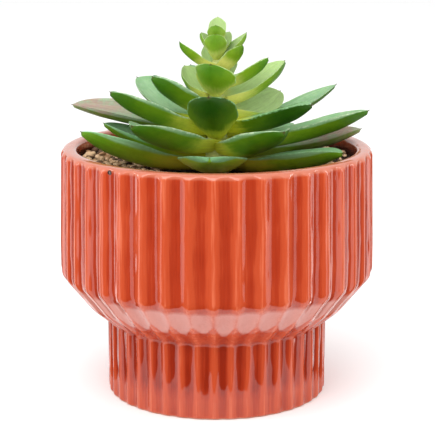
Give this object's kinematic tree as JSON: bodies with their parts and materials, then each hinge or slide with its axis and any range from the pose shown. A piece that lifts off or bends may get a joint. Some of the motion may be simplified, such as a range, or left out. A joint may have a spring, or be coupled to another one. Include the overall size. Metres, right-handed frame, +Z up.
{
  "type": "potted succulent",
  "caption": "Rosette succulent with thick cupped leaves spiralling round an upright stem, in a fluted footed round pot topped with soil and gravel.",
  "frame": {"origin": "centre of the foot's underside, where the pot stands on the table", "axes": "+Z up along the pot's axis, -Y towards the front as pictured, +X to the right"},
  "size_m": [0.1398, 0.14, 0.1678],
  "materials": {
    "coral_glaze": "glossy coral glaze that breaks pale over the ridges",
    "dark_soil": "dark, coarse, dull potting mix",
    "cream_gravel": "dull cream and tan chips",
    "pale_stem": "satin pale yellow-green",
    "mature_leaf": "satin, blue-green above and deep green below",
    "young_leaf": "satin pale yellow-green"
  },
  "bodies": {
    "root": {"pot": "coral_glaze", "soil": "dark_soil", "gravel": "cream_gravel", "stem": "pale_stem", "leaf_a1_back": "young_leaf", "leaf_a2_front": "young_leaf", "leaf_b1_front": "young_leaf", "leaf_b2_lback": "young_leaf", "leaf_b3_rback": "young_leaf", "leaf_b4_right": "young_leaf", "leaf_c1_rfront": "young_leaf", "leaf_c2_left": "young_leaf", "leaf_c3_back": "young_leaf", "leaf_d1_lfront": "young_leaf", "leaf_d2_right": "young_leaf", "leaf_d3_lback": "young_leaf", "leaf_d4_back": "young_leaf", "leaf_e1_left": "mature_leaf", "leaf_e2_rback": "mature_leaf", "leaf_e3_rback": "mature_leaf", "leaf_e5_back": "mature_leaf", "leaf_e6_back": "mature_leaf", "leaf_f0_right": "mature_leaf", "leaf_f1_front": "mature_leaf", "leaf_f2_left": "mature_leaf", "leaf_f3_lback": "mature_leaf", "leaf_f4_right": "mature_leaf", "leaf_f5_rback": "mature_leaf", "leaf_f6_back": "mature_leaf", "leaf_f7_back": "mature_leaf", "leaf_g1_lfront": "mature_leaf", "leaf_g2_rfront": "mature_leaf", "leaf_g4_left": "mature_leaf", "leaf_g5_right": "mature_leaf", "leaf_g6_back": "mature_leaf", "leaf_g7_lback": "mature_leaf", "leaf_h1_left": "mature_leaf", "leaf_h3_rfront": "mature_leaf", "leaf_h4_front": "mature_leaf", "leaf_h5_rback": "mature_leaf", "leaf_h6_lback": "mature_leaf"}
  },
  "joints": []
}
